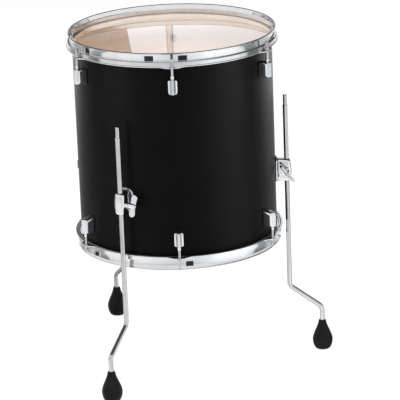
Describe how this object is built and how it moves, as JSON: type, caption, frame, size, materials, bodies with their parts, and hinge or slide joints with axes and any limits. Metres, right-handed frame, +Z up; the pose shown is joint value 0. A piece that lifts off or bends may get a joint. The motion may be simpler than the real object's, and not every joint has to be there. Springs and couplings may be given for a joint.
{
  "type": "floor tom",
  "caption": "Deep cylindrical drum with a head at each end, tensioned steel hoops and bent leg rods that slide in clamps on the shell.",
  "frame": {"origin": "middle of the whole outline, on the floor; the drum's axis is 48.25 mm towards -X from it", "axes": "+Z up along the drum's axis; -Y is the front, where the first batter lug is; +X is the right, where one leg stands out"},
  "size_m": [0.5258, 0.546, 0.702],
  "materials": {
    "shell_lacquer": "satin black lacquer outside, clear-coated light brown wood inside",
    "shell_inside": "clear-coated wood",
    "head_film": "clear film",
    "flesh_hoop": "plain",
    "hoop_chrome": "mirror",
    "lug_chrome": "mirror",
    "bracket_chrome": "mirror",
    "rod_steel": "bright, drawn",
    "nut_metal": "plated",
    "foot_rubber": "matte moulded",
    "gasket_rubber": "matte",
    "vent_metal": "mirror"
  },
  "bodies": {
    "drum": {"shell": "shell_lacquer", "batter_head": "head_film", "batter_hoop": "hoop_chrome", "batter_lug_1": "lug_chrome", "batter_swivel_nut_1": "nut_metal", "batter_lug_2": "lug_chrome", "batter_swivel_nut_2": "nut_metal", "batter_lug_3": "lug_chrome", "batter_swivel_nut_3": "nut_metal", "batter_lug_4": "lug_chrome", "batter_swivel_nut_4": "nut_metal", "batter_lug_5": "lug_chrome", "batter_swivel_nut_5": "nut_metal", "batter_lug_6": "lug_chrome", "batter_swivel_nut_6": "nut_metal", "resonant_head": "head_film", "resonant_hoop": "hoop_chrome", "resonant_lug_1": "lug_chrome", "resonant_swivel_nut_1": "nut_metal", "resonant_lug_2": "lug_chrome", "resonant_swivel_nut_2": "nut_metal", "resonant_lug_3": "lug_chrome", "resonant_swivel_nut_3": "nut_metal", "resonant_lug_4": "lug_chrome", "resonant_swivel_nut_4": "nut_metal", "resonant_lug_5": "lug_chrome", "resonant_swivel_nut_5": "nut_metal", "resonant_lug_6": "lug_chrome", "resonant_swivel_nut_6": "nut_metal", "leg_bracket_left": "bracket_chrome", "bracket_gasket_left": "gasket_rubber", "eye_bolt_left": "rod_steel", "leg_bracket_right": "bracket_chrome", "bracket_gasket_right": "gasket_rubber", "eye_bolt_right": "rod_steel", "leg_bracket_back": "bracket_chrome", "bracket_gasket_back": "gasket_rubber", "eye_bolt_back": "rod_steel", "vent_grommet": "vent_metal"},
    "batter_rod_1": {"batter_tension_rod_1": "rod_steel"},
    "batter_rod_2": {"batter_tension_rod_2": "rod_steel"},
    "batter_rod_3": {"batter_tension_rod_3": "rod_steel"},
    "batter_rod_4": {"batter_tension_rod_4": "rod_steel"},
    "batter_rod_5": {"batter_tension_rod_5": "rod_steel"},
    "batter_rod_6": {"batter_tension_rod_6": "rod_steel"},
    "resonant_rod_1": {"resonant_tension_rod_1": "rod_steel"},
    "resonant_rod_2": {"resonant_tension_rod_2": "rod_steel"},
    "resonant_rod_3": {"resonant_tension_rod_3": "rod_steel"},
    "resonant_rod_4": {"resonant_tension_rod_4": "rod_steel"},
    "resonant_rod_5": {"resonant_tension_rod_5": "rod_steel"},
    "resonant_rod_6": {"resonant_tension_rod_6": "rod_steel"},
    "leg_left": {"leg_rod_left": "rod_steel", "foot_left": "foot_rubber"},
    "wing_nut_left": {"wing_nut_left": "bracket_chrome"},
    "leg_right": {"leg_rod_right": "rod_steel", "foot_right": "foot_rubber"},
    "wing_nut_right": {"wing_nut_right": "bracket_chrome"},
    "leg_back": {"leg_rod_back": "rod_steel", "foot_back": "foot_rubber"},
    "wing_nut_back": {"wing_nut_back": "bracket_chrome"}
  },
  "joints": [
    {"name": "batter_rod_1_turn", "type": "hinge", "parent": "drum", "child": "batter_rod_1", "pos_m": [-0.0491, -0.218, 0.683], "axis": [0, 0, 1], "continuous": true},
    {"name": "batter_rod_2_turn", "type": "hinge", "parent": "drum", "child": "batter_rod_2", "pos_m": [0.13969, -0.109, 0.683], "axis": [0, 0, 1], "continuous": true},
    {"name": "batter_rod_3_turn", "type": "hinge", "parent": "drum", "child": "batter_rod_3", "pos_m": [0.13969, 0.109, 0.683], "axis": [0, 0, 1], "continuous": true},
    {"name": "batter_rod_4_turn", "type": "hinge", "parent": "drum", "child": "batter_rod_4", "pos_m": [-0.0491, 0.218, 0.683], "axis": [0, 0, 1], "continuous": true},
    {"name": "batter_rod_5_turn", "type": "hinge", "parent": "drum", "child": "batter_rod_5", "pos_m": [-0.23789, 0.109, 0.683], "axis": [0, 0, 1], "continuous": true},
    {"name": "batter_rod_6_turn", "type": "hinge", "parent": "drum", "child": "batter_rod_6", "pos_m": [-0.23789, -0.109, 0.683], "axis": [0, 0, 1], "continuous": true},
    {"name": "resonant_rod_1_turn", "type": "hinge", "parent": "drum", "child": "resonant_rod_1", "pos_m": [-0.0491, -0.218, 0.277], "axis": [0, 0, 1], "continuous": true},
    {"name": "resonant_rod_2_turn", "type": "hinge", "parent": "drum", "child": "resonant_rod_2", "pos_m": [-0.23789, -0.109, 0.277], "axis": [0, 0, 1], "continuous": true},
    {"name": "resonant_rod_3_turn", "type": "hinge", "parent": "drum", "child": "resonant_rod_3", "pos_m": [-0.23789, 0.109, 0.277], "axis": [0, 0, 1], "continuous": true},
    {"name": "resonant_rod_4_turn", "type": "hinge", "parent": "drum", "child": "resonant_rod_4", "pos_m": [-0.0491, 0.218, 0.277], "axis": [0, 0, 1], "continuous": true},
    {"name": "resonant_rod_5_turn", "type": "hinge", "parent": "drum", "child": "resonant_rod_5", "pos_m": [0.13969, 0.109, 0.277], "axis": [0, 0, 1], "continuous": true},
    {"name": "resonant_rod_6_turn", "type": "hinge", "parent": "drum", "child": "resonant_rod_6", "pos_m": [0.13969, -0.109, 0.277], "axis": [0, 0, 1], "continuous": true},
    {"name": "leg_left_height", "type": "slide", "parent": "drum", "child": "leg_left", "axis": [0, 0, 1], "range_m": [-0.12, 0.2]},
    {"name": "wing_nut_left_turn", "type": "hinge", "parent": "drum", "child": "wing_nut_left", "pos_m": [-0.1616, -0.19486, 0.394], "axis": [0.866, -0.5, 0], "continuous": true},
    {"name": "leg_right_height", "type": "slide", "parent": "drum", "child": "leg_right", "axis": [0, 0, 1], "range_m": [-0.12, 0.2]},
    {"name": "wing_nut_right_turn", "type": "hinge", "parent": "drum", "child": "wing_nut_right", "pos_m": [0.1759, 0, 0.394], "axis": [0, -1, 0], "continuous": true},
    {"name": "leg_back_height", "type": "slide", "parent": "drum", "child": "leg_back", "axis": [0, 0, 1], "range_m": [-0.12, 0.2]},
    {"name": "wing_nut_back_turn", "type": "hinge", "parent": "drum", "child": "wing_nut_back", "pos_m": [-0.1616, 0.19486, 0.394], "axis": [-0.866, -0.5, 0], "continuous": true}
  ]
}
